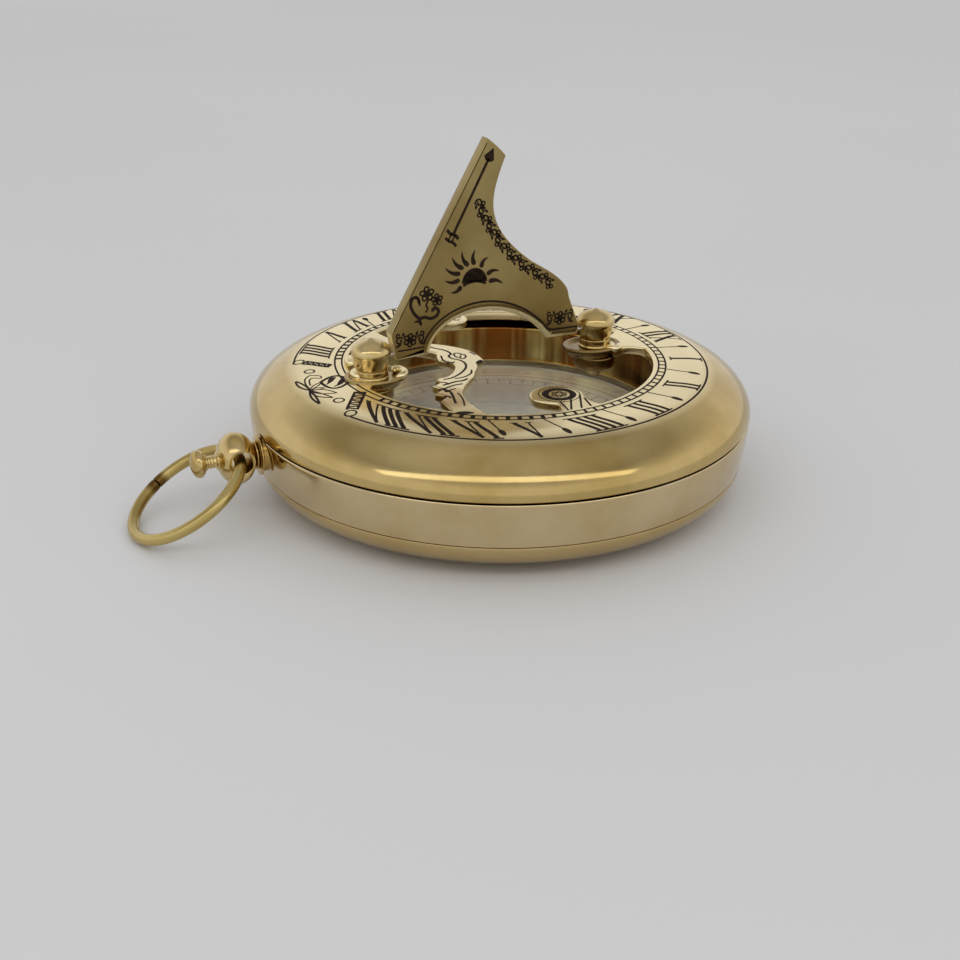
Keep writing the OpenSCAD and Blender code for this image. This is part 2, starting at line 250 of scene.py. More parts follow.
def brass(name, pale, deep, rough, spread, lathe_marks=0.0, streaks=0.0, tone_stops=(0.36, 0.62),
          satin=None, patina_and_painted_shade=(), silver_below=None):
    """Polished brass: its colour drifts between a pale and a deep tone, with
    smudges in its gloss, hairline scratches, rings about the case's axis where it
    was turned, and streaks: upright columns bumped in its surface, along which
    its colour runs in painted streaks of reflected light and shade. Satin is the
    radius within which it is brushed, how much rougher it is there, and its paler
    colour. Each darkening is a place, a radius about it within which the brass is
    darkened, and its tint: tarnish at the bow's join, and painted shade on the
    bowl's north wall and on the bird's neck. Below silver_below it is washed with silver."""
    n = Nodes(name)
    place = n.where(1, 1, 1)
    x, y, z = n.add("SeparateXYZ", {0: place}).outputs
    flat = n.add("CombineXYZ", {"X": x, "Y": y}).outputs[0]
    reach = n.add("VectorMath", {0: flat}, operation="LENGTH").outputs["Value"]
    # with streaks the tone drifts in upright columns: painted streaks of reflected light and shade
    if streaks:
        drift = n.noise(n.where(1, 1, 0.05), 150.0, 3.0, 0.6)
    else:
        drift = n.noise(place, 70.0, 4.0, 0.55)
    specks = n.clouds(place, 900.0, 5.0, 0.7, 1.0, 0.72, 0.66, 0.80)
    colour = n.mix(1.0, n.ramp(drift, (tone_stops[0], deep), (tone_stops[1], pale)), specks,
                   "MULTIPLY")
    gloss = n.clouds(place, 160.0, 6.0, 0.65, rough, rough + spread, 0.3, 0.75)
    if satin:
        edge, rougher, tint = satin
        inward = n.slope(reach, edge / 1000 + 0.0012, edge / 1000 - 0.0012, rougher)
        gloss = n.add("Math", {0: gloss, 1: inward}, operation="ADD").outputs[0]
        share = n.add("Math", {0: inward, 1: rougher}, operation="DIVIDE").outputs[0]
        colour = n.mix(share, colour, n.ramp(drift, (0.36, 0.9 * np.array(tint)), (0.62, tint)))
    # darkened spots: tarnish at the bow's join, painted shade on the bowl and on the bird
    for middle, radius, tint in patina_and_painted_shade:
        near = n.add("VectorMath", {0: place, 1: [part / 1000 for part in middle]},
                     operation="DISTANCE").outputs["Value"]
        fade = n.slope(near, 0.6 * radius / 1000, radius / 1000)
        colour = n.mix(1.0, colour, n.ramp(fade, (0.0, tint), (1.0, 1.0)), "MULTIPLY")
    if silver_below:
        above = n.slope(z, (silver_below - 0.1) / 1000, (silver_below + 0.1) / 1000)
        colour = n.mix(above, (0.94, 0.86, 0.68, 1.0), colour)
    normal = n.bump(n.noise(n.where(400, 6000, 2500), 1.0, 2.0, 0.6), 0.000004, 0.5)
    if lathe_marks:
        ring = n.add("CombineXYZ", {"X": reach, "Z": z}).outputs[0]
        normal = n.bump(n.noise(ring, 5200.0, 3.0, 0.7), lathe_marks, 0.7, normal)
    if streaks:
        columns = n.noise(n.where(1, 1, 0.02), 190.0, 3.0, 0.6)
        normal = n.bump(columns, streaks, 0.8, normal)
    n.surface(Metallic=1.0, Base_Color=colour, Roughness=gloss, Normal=normal)
    return n.owner


case_brass = brass("case_brass", (0.57, 0.43, 0.21), (0.51, 0.37, 0.165), 0.10, 0.08, 0.0000015)
inner_flat_r = cover_flat_r - 0.4
spigot_inner_r = spigot_r - spigot_wall
turned("back_cover_dish", np.vstack([
    [[0, 0], [cover_flat_r - 1, 0]],
    oval((cover_flat_r, cover_top), (cover_r - cover_flat_r, cover_top), 270, 352, 28),
    [[cover_r + 0.02, cover_top - 0.35], [cover_r - 0.05, cover_top - 0.12],
     [cover_r - 0.25, cover_top - 0.02], [spigot_r, cover_top - 0.02],
     [spigot_r, cover_top + spigot_height], [spigot_inner_r, cover_top + spigot_height]],
    oval((inner_flat_r, cover_top), (spigot_inner_r - inner_flat_r, cover_top - sheet),
         360, 270, 16),
    [[0, sheet]],
]), (case_brass, "polished_brass", "back_cover"))

# Band: the ring between the two seams, turned from tube. A step near its top
# makes the dark seam under the lid, and its shelf inside carries the bowl.
case_r, seam_z, lid_inner_r, shelf_r = 37.9, 12.5, 36.7, 33.8
seam_low, shelf_z, band_top = seam_z - 0.28, seam_z + 0.5, seam_z + 1.7


def cubic(a, b, c, d, count=9):
    """Points on the curve drawn by four control points."""
    t = np.linspace(0, 1, count)[:, None]
    a, b, c, d = (np.array(point, float) for point in (a, b, c, d))
    return (1 - t) ** 3 * a + 3 * (1 - t) ** 2 * t * b + 3 * (1 - t) * t**2 * c + t**3 * d


band_brass = brass("band_brass", (0.66, 0.525, 0.31), (0.55, 0.415, 0.21), 0.09, 0.07, 0.0000015)
turned("case_band_ring", np.vstack([
    [[spigot_r, cover_top + 0.02], [cover_r - 0.4, cover_top + 0.02],
     [cover_r - 0.12, cover_top + 0.04]],
    cubic((cover_r, cover_top + 0.05), (cover_r + 0.45, 7.74), (case_r, 9.78),
          (case_r, seam_z - 0.5), 20),
    [[case_r - 0.03, seam_low - 0.12], [case_r - 0.12, seam_low - 0.03], [case_r - 0.3, seam_low],
     [lid_inner_r + 0.35, seam_low], [lid_inner_r, seam_z - 0.1], [lid_inner_r, seam_z + 0.3],
     [lid_inner_r - 0.4, band_top], [shelf_r, band_top], [shelf_r, shelf_z], [spigot_r, shelf_z]],
]), (band_brass, "polished_brass", "case_band"))

# Compass bowl: a spun brass cup, redder and darker than the case, that hangs by
# its flange. Its wall is burnished in upright streaks, along which its colour runs
# in painted streaks of reflected light and shade; painted shade darkens its north
# side, and under the glass it is washed with silver.
bowl_r, bowl_wall, bowl_step, flange_r = 25.8, 1.1, 1.2, 34.9
floor_top, glass_z, shelf_top = 5.0, 8.2, 14.2
rim_top = shelf_top + 1.4


def rounded(points, radius, steps=4):
    """An open outline whose corners are cut back by a radius, or half a side, and
    bridged by the parabola that touches both sides."""
    p = np.asarray(points, float)
    t = np.linspace(0, 1, steps + 1)[:, None]
    parts = [p[:1]]
    for before, corner, after in zip(p, p[1:], p[2:]):
        one, two = before - corner, after - corner
        one = corner + one * min(radius / np.linalg.norm(one), 0.5)
        two = corner + two * min(radius / np.linalg.norm(two), 0.5)
        parts.append((1 - t) ** 2 * one + 2 * t * (1 - t) * corner + t**2 * two)
    return np.vstack(parts + [p[-1:]])


# the darkening about (6, 32, 12) is painted shade on the north wall of the bowl
bowl_brass = brass("bowl_brass", (1.0, 0.84, 0.34), (0.38, 0.15, 0.03), 0.14, 0.10, 0.0, 0.00005,
                   (0.45, 0.56), patina_and_painted_shade=[((6, 32, 12), 22, (0.30, 0.20, 0.13))],
                   silver_below=glass_z)
turned("compass_bowl_cup", rounded([
    [0, floor_top - 1], [bowl_r + bowl_wall, floor_top - 1], [bowl_r + bowl_wall, shelf_top],
    [flange_r, shelf_top], [flange_r, rim_top], [bowl_r + 1.9, rim_top],
    [bowl_r + 1.6, rim_top - 0.25], [bowl_r + 1.3, rim_top], [bowl_r, rim_top], [bowl_r, glass_z],
    [bowl_r - bowl_step, glass_z], [bowl_r - bowl_step, floor_top], [0, floor_top]], 0.35),
    (bowl_brass, "bowl_brass", "compass_bowl"))

# Card: a silvered disc on the bowl's floor, printed with a degree ring and a
# plain compass star.
card_top, card_low, card_r, card_hole_r = 5.4, 5.0, 24.4, 0.8
silvered = Nodes("silvered_card")
card_place = silvered.where(1, 1, 1)
silvered.surface(
    Base_Color=silvered.clouds(card_place, 90.0, 5.0, 0.6, (0.84, 0.77, 0.62), (0.94, 0.89, 0.77)),
    Metallic=0.35, Roughness=silvered.clouds(card_place, 420.0, 4.0, 0.7, 0.34, 0.48),
    Normal=silvered.bump(silvered.noise(silvered.where(300, 9000, 1), 1.0, 2.0, 0.5),
                         0.000006, 0.5))
turned("compass_card_disc", rounded([
    [card_hole_r, card_low], [card_r, card_low], [card_r, card_top], [card_hole_r, card_top]],
    0.08), (silvered.owner, "silvered_card", "compass_card"), steps=128)


def square_to(path):
    """At each point of a path, the unit vector to the left of its run."""
    run = np.gradient(path, axis=0)
    return np.c_[-run[:, 1], run[:, 0]] / np.maximum(np.linalg.norm(run, axis=1), 1e-9)[:, None]


def engraved(name, strokes, place, ink, body="case", rise=0.012, depth=0.05):
    """Filled lines cut in a surface. Each stroke is a middle line with a width at
    each point; its two sides lie half the width off it, square to its run, and a
    flat ribbon between them stands a hair over the surface and goes below it."""
    rings, faces, first = [], [], 0
    for middle, width in strokes:
        middle = np.asarray(middle, float)
        count = len(middle)
        side = square_to(middle) * (np.broadcast_to(width, (count,)) / 2)[:, None]
        corners = [place(middle + side, rise), place(middle + side, -depth),
                   place(middle - side, -depth), place(middle - side, rise)]
        rings.append(np.stack(corners, 1).reshape(-1, 3))
        end = first + 4 * count
        faces += grid_faces(count, 4, False, first)
        faces += [list(range(first, first + 4)), list(range(end - 1, end - 5, -1))]
        first = end
    solid(name, np.vstack(rings), faces, (ink, None), 30.0, body)


def dark_fill(name, colour, paler):
    """A matt dark wax or lacquer rubbed into cut lines, thinner in places."""
    n = Nodes(name)
    n.surface(Base_Color=n.clouds(n.where(1, 1, 1), 1500.0, 4.0, 0.6, colour, paler, 0.35, 0.8),
              Roughness=0.7, Specular_IOR_Level=0.15)
    return n.owner


def arc(centre, radius, first, last, count):
    """Points of a circle in plan from one ring angle to another, in degrees from
    north towards east."""
    turn = np.radians(np.linspace(first, last, count))
    return np.c_[centre[0] + radius * np.sin(turn), centre[1] + radius * np.cos(turn)]


def spoke(turn, inner, outer):
    """A line at a ring angle from one circle about the axis out to another."""
    return arc((0, 0), 1.0, turn, turn, 2) * [[inner], [outer]]


def on_level(flat, height):
    """Plan points at one height, or each at its own."""
    return np.c_[flat, np.broadcast_to(height, (len(flat),))]


middle = (0, 0)
degree_r, fine_r, edge_r = 20.9, 21.8, 22.9
card_lines = [(arc(middle, edge_r, 0, 360, 181), 0.22), (arc(middle, degree_r, 0, 360, 181), 0.16),
              (arc(middle, 13.5, 0, 360, 121), 0.16)]
for degree in range(0, 360, 5):
    card_lines.append((spoke(degree, fine_r if degree % 10 else degree_r, edge_r), 0.3))
ray_root = 2.0
for step in range(16):
    # a ray is a long thin lozenge, broadest at 0.22 of its length
    length, half = ((12.6, 1.1), (8, 0.4), (10.4, 0.8), (8, 0.4))[step % 4]
    ray = [ray_root, ray_root + (length - ray_root) * 0.22, length]
    card_lines.append((arc(middle, 1.0, 22.5 * step, 22.5 * step, 3) * np.array(ray)[:, None],
                       [0.3, 2 * half, 0.05]))
engraved("compass_card_print", card_lines, lambda flat, height: on_level(flat, card_top + height),
         dark_fill("card_ink", (0.26, 0.22, 0.19), (0.52, 0.47, 0.41)), rise=0.006, depth=0.02)

# Pivot, needle and cap: a turned steel point on the card, and a blued steel
# needle that balances on it by a small brass cap, under the glass.


def steel(name, pale, deep, rough):
    """Steel with a drift of tone along it and fine scratches."""
    n = Nodes(name)
    place = n.where(1, 1, 1)
    n.surface(Metallic=1.0,
              Base_Color=n.clouds(place, 260.0, 4.0, 0.6, deep, pale),
              Roughness=n.clouds(place, 900.0, 3.0, 0.6, rough, rough + 0.12),
              Normal=n.bump(n.noise(n.where(6000, 500, 3000), 1.0, 2.0, 0.5), 0.000003, 0.4))
    return n.owner


def dress(node, material):
    """A carried-over node keeps its mesh and takes the material."""
    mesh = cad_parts[node].data
    mesh.materials.clear()
    mesh.materials.append(material)


plain_steel = steel("plain_steel", (0.66, 0.65, 0.63), (0.50, 0.49, 0.47), 0.22)
for node in ("pivot_pin", "south_hinge_pin", "north_hinge_pin"):
    dress(node, plain_steel)
dress("compass_needle", steel("blued_steel", (0.12, 0.17, 0.34), (0.06, 0.08, 0.18), 0.25))
dress("needle_cap", bowl_brass)

# Glass: a flat pane with a ground edge that rests on the bowl's step, with a
# faint film of dust and a few wiped smears, held by a sprung brass ring.
glass_top, pane_r = glass_z + 1.2, bowl_r - 0.1
clear = Nodes("window_glass")
clear.surface(
    Transmission_Weight=0.86, IOR=1.46,
    Base_Color=clear.clouds(clear.where(1, 1, 1), 60.0, 3.0, 0.5, (0.92, 0.93, 0.90),
                            (0.97, 0.97, 0.95)),
    Roughness=clear.clouds(clear.where(1, 3, 1), 120.0, 5.0, 0.6, 0.0, 0.06, 0.45, 0.8))
pane = turned("compass_pane", rounded([
    [0, glass_z], [pane_r, glass_z], [pane_r, glass_top], [0, glass_top]], 0.12),
    (clear.owner, "glass", "compass_glass"), steps=128)
pane.visible_shadow = False
ring_brass = brass("ring_brass", (0.52, 0.42, 0.22), (0.26, 0.17, 0.07), 0.20, 0.12)
ring_low_r, ring_top = bowl_r - 0.8, glass_top + 0.7
turned("compass_pane_ring", rounded([
    [ring_low_r, glass_top], [bowl_r, glass_top], [bowl_r, ring_top], [ring_low_r, ring_top],
    [ring_low_r, glass_top]], 0.2), (ring_brass, "bowl_brass", "glass_ring"))

# Dial lid: a domed bezel spun from brass, flat where the hours are cut and open
# in the middle. It is the brightest piece, rubbed along its lip and its window.
window_r, ring_z, rim_z, plateau_r, dome_height = 23.1, 19.0, 19.2, 28.0, 6.2
lip_r, lip_rise = window_r + 0.2, 0.18
dome_centre = (plateau_r, seam_z + 0.3)
dome_width = case_r + 0.1 - plateau_r


def lid_height(radius):
    """Height of the lid's top at a radius: a quarter ellipse outside the plateau's
    edge, and inside it a parabola that rises to the window's lip."""
    radius = np.asarray(radius, float)
    outside = np.clip((radius - plateau_r) / dome_width, 0, 1)
    inside = np.clip((plateau_r - radius) / (plateau_r - lip_r), 0, 1)
    return dome_centre[1] + dome_height * np.sqrt(1 - outside**2) + lip_rise * inside**2


# the darkening about (12.4, -13.6, 19) is painted shade on the bird's neck
lid_brass = brass("lid_brass", (0.64, 0.48, 0.21), (0.50, 0.35, 0.12), 0.10, 0.08, 0.0000012,
                  satin=(31.4, 0.14, (1.0, 0.84, 0.49)),
                  patina_and_painted_shade=[((12.4, -13.6, 19), 4.6, (0.62, 0.52, 0.38))])
plateau = np.linspace(plateau_r, lip_r + 0.25, 14)[1:]
turned("dial_lid_bezel", np.vstack([
    [[lid_inner_r, seam_z], [case_r - 0.25, seam_z], [case_r - 0.02, seam_z + 0.05],
     [case_r + 0.09, seam_z + 0.2]],
    oval(dome_centre, (dome_width, dome_height), 3, 90, 44),
    np.c_[plateau, lid_height(plateau)],
    [[window_r + 0.25, rim_z - 0.05], [window_r + 0.08, rim_z - 0.14], [window_r, rim_z - 0.32],
     [window_r, ring_z - sheet + 0.2], [lip_r, ring_z - sheet]],
    oval(dome_centre, (lid_inner_r - plateau_r, dome_height - sheet), 90, 0, 16),
]), (lid_brass, "polished_brass", "dial_lid"), steps=256)

# Tabs of the lid, cut in one piece with it and filed round: the bird that
# bridges the window, the two discs with curls that carry the posts, the loop on
# the east rim and the knob on the west rim.
tab_z, tab_low, root_r = 19.16, 17.7, 23.55


def curve(points, steps=8):
    """A smooth curve through the points: between each two, the cubic whose ends
    have the slope of the line between their neighbours."""
    p = np.asarray(points, float)
    q = np.vstack([2 * p[0] - p[1], p, 2 * p[-1] - p[-2]])
    t = np.linspace(0, 1, steps, endpoint=False)[:, None, None]
    a, b, c, d = q[None, :-3], q[None, 1:-2], q[None, 2:-1], q[None, 3:]
    body = 0.5 * (2 * b + (c - a) * t + (2 * a - 5 * b + 4 * c - d) * t**2
                  + (3 * b - a - 3 * c + d) * t**3)
    return np.vstack([body.transpose(1, 0, 2).reshape(-1, p.shape[1]), p[-1:]])


def fill(ring, outline, first):
    """The triangles, as even as can be, that fill a flat ring of points. Where the
    ring crosses itself they are those of the outline it was drawn in from, and a
    point where two sides cross goes to the ring's nearest point."""
    for points in (ring, outline):
        spots, _, faces, starts = delaunay_2d_cdt(
            [Vector(point) for point in points], [], [list(range(len(points)))], 1, 1e-5)[:4]
        if all(starts):
            break
    source = [first + (start[0] if start else
                       int(np.argmin(np.linalg.norm(points - np.array(spot), axis=1))))
              for spot, start in zip(spots, starts)]
    faces = [[source[corner] for corner in face] for face in faces]
    return [face for face in faces if len(set(face)) == 3]


def without_doubles(points):
    """Which points of a closed outline lie off the one before them."""
    return np.linalg.norm(points - np.roll(points, 1, 0), axis=1) > 0.02


def slab(name, outline, low, high, edge, place, look, sharp, body="case"):
    """A plate from an outline: a wall between two levels whose lower and upper
    edges are rounded by moving the outline inward, by a width at each point, as
    it nears either face; both faces are flat and begin a step further in."""
    p = np.asarray(outline, float)
    ahead, behind = np.roll(p, -1, 0) - p, p - np.roll(p, 1, 0)
    ahead /= np.linalg.norm(ahead, axis=1)[:, None]
    behind /= np.linalg.norm(behind, axis=1)[:, None]
    along = ahead + behind
    along /= np.maximum(np.linalg.norm(along, axis=1), 1e-6)[:, None]
    miter = 1 / np.maximum(np.abs(np.sum(along * ahead, 1)), 0.6)
    area = np.sum(p[:, 0] * np.roll(p[:, 1], -1) - np.roll(p[:, 0], -1) * p[:, 1])
    inward = np.c_[-along[:, 1], along[:, 0]] * np.sign(area) * miter[:, None]
    low_edge, high_edge = np.broadcast_to(edge, (2, len(p)))
    face_step = 0.06
    low_face = p + inward * (low_edge + face_step)[:, None]
    high_face = p + inward * (high_edge + face_step)[:, None]
    bend = np.radians([90, 67, 45, 22, 0])
    rings = [place(low_face, low)]
    for level, side, widths, turns in ((low, 1, low_edge, bend),
                                       (high, -1, high_edge, bend[::-1])):
        for turn in turns:
            flat = p + inward * (widths * (1 - math.cos(turn)))[:, None]
            rise = np.minimum(widths * 0.8, (high - low) * 0.45) * (1 - math.sin(turn))
            rings.append(place(flat, level + side * rise))
    rings.append(place(high_face, high))
    faces = grid_faces(len(rings), len(p), False)
    faces += fill(low_face, p, 0) + fill(high_face, p, (len(rings) - 1) * len(p))
    return solid(name, np.vstack(rings), faces, look, sharp, body)


def tab(name, outline, low_edge=0.75, high_edge=0.28):
    """A tab of the lid: its outline is kept inside the root circle, and its edges
    are round except where it grows out of the rim."""
    p = np.asarray(outline, float)
    p = p * np.minimum(1, root_r / np.linalg.norm(p, axis=1))[:, None]
    p = p[without_doubles(p)]
    rim_edge, fade = root_r - 0.35, 0.6
    free = np.clip((rim_edge - np.linalg.norm(p, axis=1)) / fade, 0, 1)
    slab(name, p, tab_low, tab_z, [low_edge * free, high_edge * free], on_level,
         (lid_brass, "polished_brass", "dial_lid"), 40.0)


def rim(first, last, count):
    """Points of the root circle, which lies hidden in the lid's rim."""
    return oval((0, 0), (root_r, root_r), first, last, count)


bird = [
    curve([(-19.75, -12.97), (-18, -12.7), (-15.6, -12), (-13, -10), (-10.9, -7.6), (-8, -4.6),
           (-5, -2.8), (-2.2, -2.5), (-0.3, -2.6)]),
    curve([(-0.1, -3), (0.5, -4), (2.2, -4.75), (4.1, -6), (5.7, -6.9), (7.6, -8.6),
           (9.8, -10.3), (12.3, -11.4), (15.8, -11.8), (20.4, -11.4)]),
    rim(331, 320.5, 6),
    curve([(18.6, -15.6), (16.9, -15.3), (13.1, -15.3)], 5),
    curve([(12.8, -14.9), (11.7, -13.9), (10.2, -14.9)], 5),
    curve([(10, -14.6), (8.7, -13.4), (7.1, -14)], 5),
    curve([(7, -13.6), (6.2, -12.5), (5.2, -12.7)], 5),
    curve([(4.6, -12.1), (4.3, -10.6), (2.7, -8.9), (0.2, -7.6), (-1.6, -7.9), (-2.6, -8.9),
           (-4.4, -8.6), (-6.1, -8.2), (-9, -10.4), (-12.4, -13.2), (-15.4, -15.1), (-17.6, -16)]),
    rim(221, 214.5, 5),
]
tab("lid_bird", np.vstack(bird))
# the post discs' dark brown brass is painted shade for their dished tops
painted_shade_dish_brass = brass("painted_shade_dish_brass", (0.46, 0.34, 0.14), (0.14, 0.075, 0.025), 0.18, 0.15)


def dish(name, y):
    """A post's disc: dished on top inside a thin raised lip, its underside cut
    back to a smaller foot."""
    turned(name, rounded([
        [0, 19.02], [0.8, 19.02], [0.88, 19.42], [1, 19.42], [1, 18.75], [0.82, 18.3],
        [0.78, tab_low], [0, tab_low]], 0.06, 3), (painted_shade_dish_brass, "polished_brass", "dial_lid"),
        (0, y, 0), 96, 50.0, (3.65, 4.65))


south_y, north_y = -20.7, 16.3
dish("lid_south_disc", south_y + 0.55)
dish("lid_north_disc", north_y - 0.55)
tab("lid_south_root", np.vstack([
    curve([(-1.2, -20.6), (-2.2, -21.3), (-2.6, -22.4), (-3.4, -23.3)]), rim(262.5, 282, 9),
    curve([(5.4, -23.4), (4.2, -22.4), (2.8, -21.6)])]))
tab("lid_south_scroll", curve([
    (-2.2, -22.4), (-3.6, -22.05), (-5, -21.8), (-6.8, -21.2), (-8.1, -20.85), (-9.2, -20.5),
    (-9.85, -19.6), (-9.3, -18.75), (-8.3, -18.8), (-7.7, -19.5), (-6, -20.1), (-4.4, -20.4),
    (-2.2, -20.8)], 6), 0.5)
tab("lid_north_root", np.vstack([
    curve([(-3.2, north_y + 1.6), (-3, north_y + 4.2), (-5.4, 23.4)]), rim(102, 78, 10),
    curve([(5.4, 23.4), (3, north_y + 4.2), (3.2, north_y + 1.6)])]))
tab("lid_loop", np.vstack([
    curve([(20.5, -0.6), (18.9, -2.4), (17.4, -3.1), (14.9, -2.2), (13.5, 0.8), (14.9, 3.8),
           (17.4, 4.7), (19.3, 4.2), (21.3, 4.2), (24, 5.2)]),
    rim(11.5, -3.5, 7), curve([(24, -1.9), (22, -0.9), (20.9, -0.7)])]))
knob = (-21, 0.6)
tab("lid_west_knob", oval(knob, (2.9, 2.9), 0, 360, 49)[:-1])

# Curls cast on the edges of the tabs beside the posts: four at the south post
# and one at the north post, each a round bar bent into a hook.


def curl(name, points, thick, height):
    """A curl cast on a tab's edge: a round bar along a curve that thins towards
    its ends, which are closed and round."""
    middle, around = curve(points, 6), 16
    steps = np.linspace(0, 1, len(middle))
    thick = (thick * np.sqrt(np.clip(np.minimum(steps + 0.002, 1.002 - steps) * 6, 0, 1)))[:, None]
    turn = np.linspace(0, 2 * np.pi, around, endpoint=False)
    flat = middle[:, None] + square_to(middle)[:, None] * (thick * np.cos(turn))[..., None]
    points = np.dstack([flat, height + thick * np.sin(turn)]).reshape(-1, 3)
    faces = grid_faces(len(middle), around, False)
    faces += [list(range(around)), list(range(len(points) - around, len(points)))]
    solid(name, points, faces, (lid_brass, "polished_brass"), 60.0)


curl("lid_south_curl_a", [(-7.2, -20.6), (-8.3, -20.5), (-9.2, -20), (-9.2, -19.3),
                          (-8.5, -19.2), (-8.4, -19.8)], 0.42, 19.15)
curl("lid_south_curl_b", [(-4.6, -21.5), (-5.6, -21.95), (-6.6, -21.95), (-7.2, -21.4),
                          (-6.9, -20.8), (-6.3, -20.9)], 0.72, 19.5)
curl("lid_south_curl_c", [(0.9, -22.7), (-0.1, -23), (-1.1, -23.05), (-1.7, -22.5),
                          (-1.4, -21.95), (-0.8, -22.1)], 0.66, 19.5)
curl("lid_south_curl_d", [(2.5, -17.9), (2.3, -16.9), (1.5, -16.15), (0.5, -15.95),
                          (-0.4, -16.3), (-0.5, -16.95), (0.1, -17.15)], 0.55, 19.5)
curl("lid_north_curl_a", [(1.5, 19.6), (2.6, 19.2), (3.2, 18.3), (2.6, 17.5), (2, 18)],
     0.5, 19.2)

# Cut lines of the dial: an hour scale in Roman numerals inside a border, a
# ladder ring round the window, and a lotus at the south end. They are cut or
# etched in the lid and filled with dark wax.
wax = ((0.014, 0.007, 0.004), (0.045, 0.025, 0.012))
dial_ink = dark_fill("dial_wax", *wax)


def line(a, b, count=2):
    return np.linspace(a, b, count)


def on_lid(flat, height):
    """Plan points put on the lid's curved top."""
    return np.c_[flat, lid_height(np.linalg.norm(flat, axis=1)) + height]


ladder_low, ladder_high, border_r = 23.95, 25.0, 31.2
ring_lines = [(arc(middle, ladder_low, 0, 360, 289), 0.26),
              (arc(middle, ladder_high, 0, 360, 289), 0.28),
              (arc(middle, border_r, -160, 156, 253), 0.30)]
for turn in -157.5 + 3.75 * np.arange(85):
    ring_lines.append((spoke(turn, ladder_low, ladder_high), 0.62 if abs(turn) > 95 else 0.42))

numeral_top, numeral_foot = 26.0, 30.75
# each letter's room, and its strokes: start, end, points, first and last width
letters = {
    "I": (1.22, [((0.61, 0.02), (0.61, 0.98), 9, 0.60, 0.60)]),
    "V": (2.85, [((0.45, 0.02), (1.525, 0.99), 9, 0.66, 0.50),
                 ((2.45, 0.02), (1.525, 0.99), 9, 0.30, 0.26),
                 ((-0.1, 0.015), (1, 0.015), 3, 0.22, 0.22),
                 ((2, 0.015), (2.9, 0.015), 3, 0.22, 0.22)]),
    "X": (2.8, [((0.45, 0.02), (2.35, 0.98), 9, 0.66, 0.66),
                ((2.4, 0.02), (0.4, 0.98), 9, 0.28, 0.28)]
          + [((x, level), (x + 1.0, level), 3, 0.22, 0.22)
             for level in (0.015, 0.985) for x in (-0.05, 1.85)]),
}


def numeral(text, top_angle, foot_angle):
    """Strokes of a Roman numeral between two circles. Across it runs along the
    ring against the ring angle, and its stems lean from the top's angle to the
    foot's; a bar joins its ones at both ends."""

    def place(points):
        across, down = points.T
        radius = numeral_top + (numeral_foot - numeral_top) * down
        turn = np.radians(top_angle + (foot_angle - top_angle) * down) - across / radius
        return np.c_[radius * np.sin(turn), radius * np.cos(turn)]

    strokes = []
    start = left = -sum(letters[letter][0] for letter in text) / 2
    for letter in text:
        room, parts = letters[letter]
        for a, b, count, first, last in parts:
            strokes.append((place(line(a, b, count) + [left, 0]), np.linspace(first, last, count)))
        left += room
    trailing = len(text) - len(text.rstrip("I"))
    ones = trailing or len(text) - len(text.lstrip("I"))
    if ones:
        span = letters["I"][0] * ones
        first, overhang = left - span if trailing else start, 0.12
        for level in (0, 1):
            bar = line((first - overhang, level), (first + span + overhang, level), 6)
            strokes.append((place(bar), 0.26))
    return strokes


for text, top_angle, foot_angle in (
        ("XII", 0.0, 0.0), ("I", 22.7, 22.4), ("II", 47.3, 45.6), ("III", 69.2, 67.3),
        ("IIII", 90.3, 85.5), ("V", 109.0, 104.6), ("VI", 125.8, 118.0), ("VII", 140.0, 130.2),
        ("VIII", 154.0, 144.5), ("XI", -22.7, -22.4), ("X", -46.8, -45.9), ("IX", -68.5, -66.5),
        ("VIII", -89.8, -85.0), ("VII", -107.0, -103.0), ("VI", -123.5, -118.0),
        ("V", -137.0, -130.5), ("IIII", -151.3, -147.0)):
    ring_lines += numeral(text, top_angle, foot_angle)


def run_of(start, end):
    """The direction from a start to an end, and the one to its left."""
    way = (end - start) / np.linalg.norm(end - start)
    return way, np.array([-way[1], way[0]])


# half-hour marks: a thin line that ends in a long drop
drop = np.linspace(-0.95, 0.95, 13)
drop_width = 0.98 * np.sqrt(np.maximum(1 - (drop / 0.96) ** 2, 0.003)) * 0.86
for inner, outer in (((4.9, 24.62), (5.7, 28.8)), ((14.05, 20.94), (16.86, 23.9)),
                     ((21.28, 13.24), (24.87, 16.04)), ((24.76, 3.96), (28.93, 6.22)),
                     ((24.56, -5.03), (29.3, -3.8)), ((22, -12.09), (26.6, -12.07))):
    for mirror in ((1, 1), (-1, 1)):
        start, end = np.multiply(inner, mirror), np.multiply(outer, mirror)
        ring_lines += [(line(start, end, 11), 0.24),
                       (end + run_of(start, end)[0] * drop[:, None], drop_width)]


def petal(root, tip, bend, width, thick):
    """The two edges of a pointed petal from its root to its tip, bent to one side."""
    t = np.linspace(0, 1, 13)
    side = np.array([root[1] - tip[1], tip[0] - root[0]])
    middle = root + (tip - root) * t[:, None] + side * (bend * np.sin(np.pi * t))[:, None]
    half = square_to(middle) * (width * np.sin(np.pi * t) + 0.05)[:, None] / 2
    return [(middle + half, thick), (middle - half, thick)]


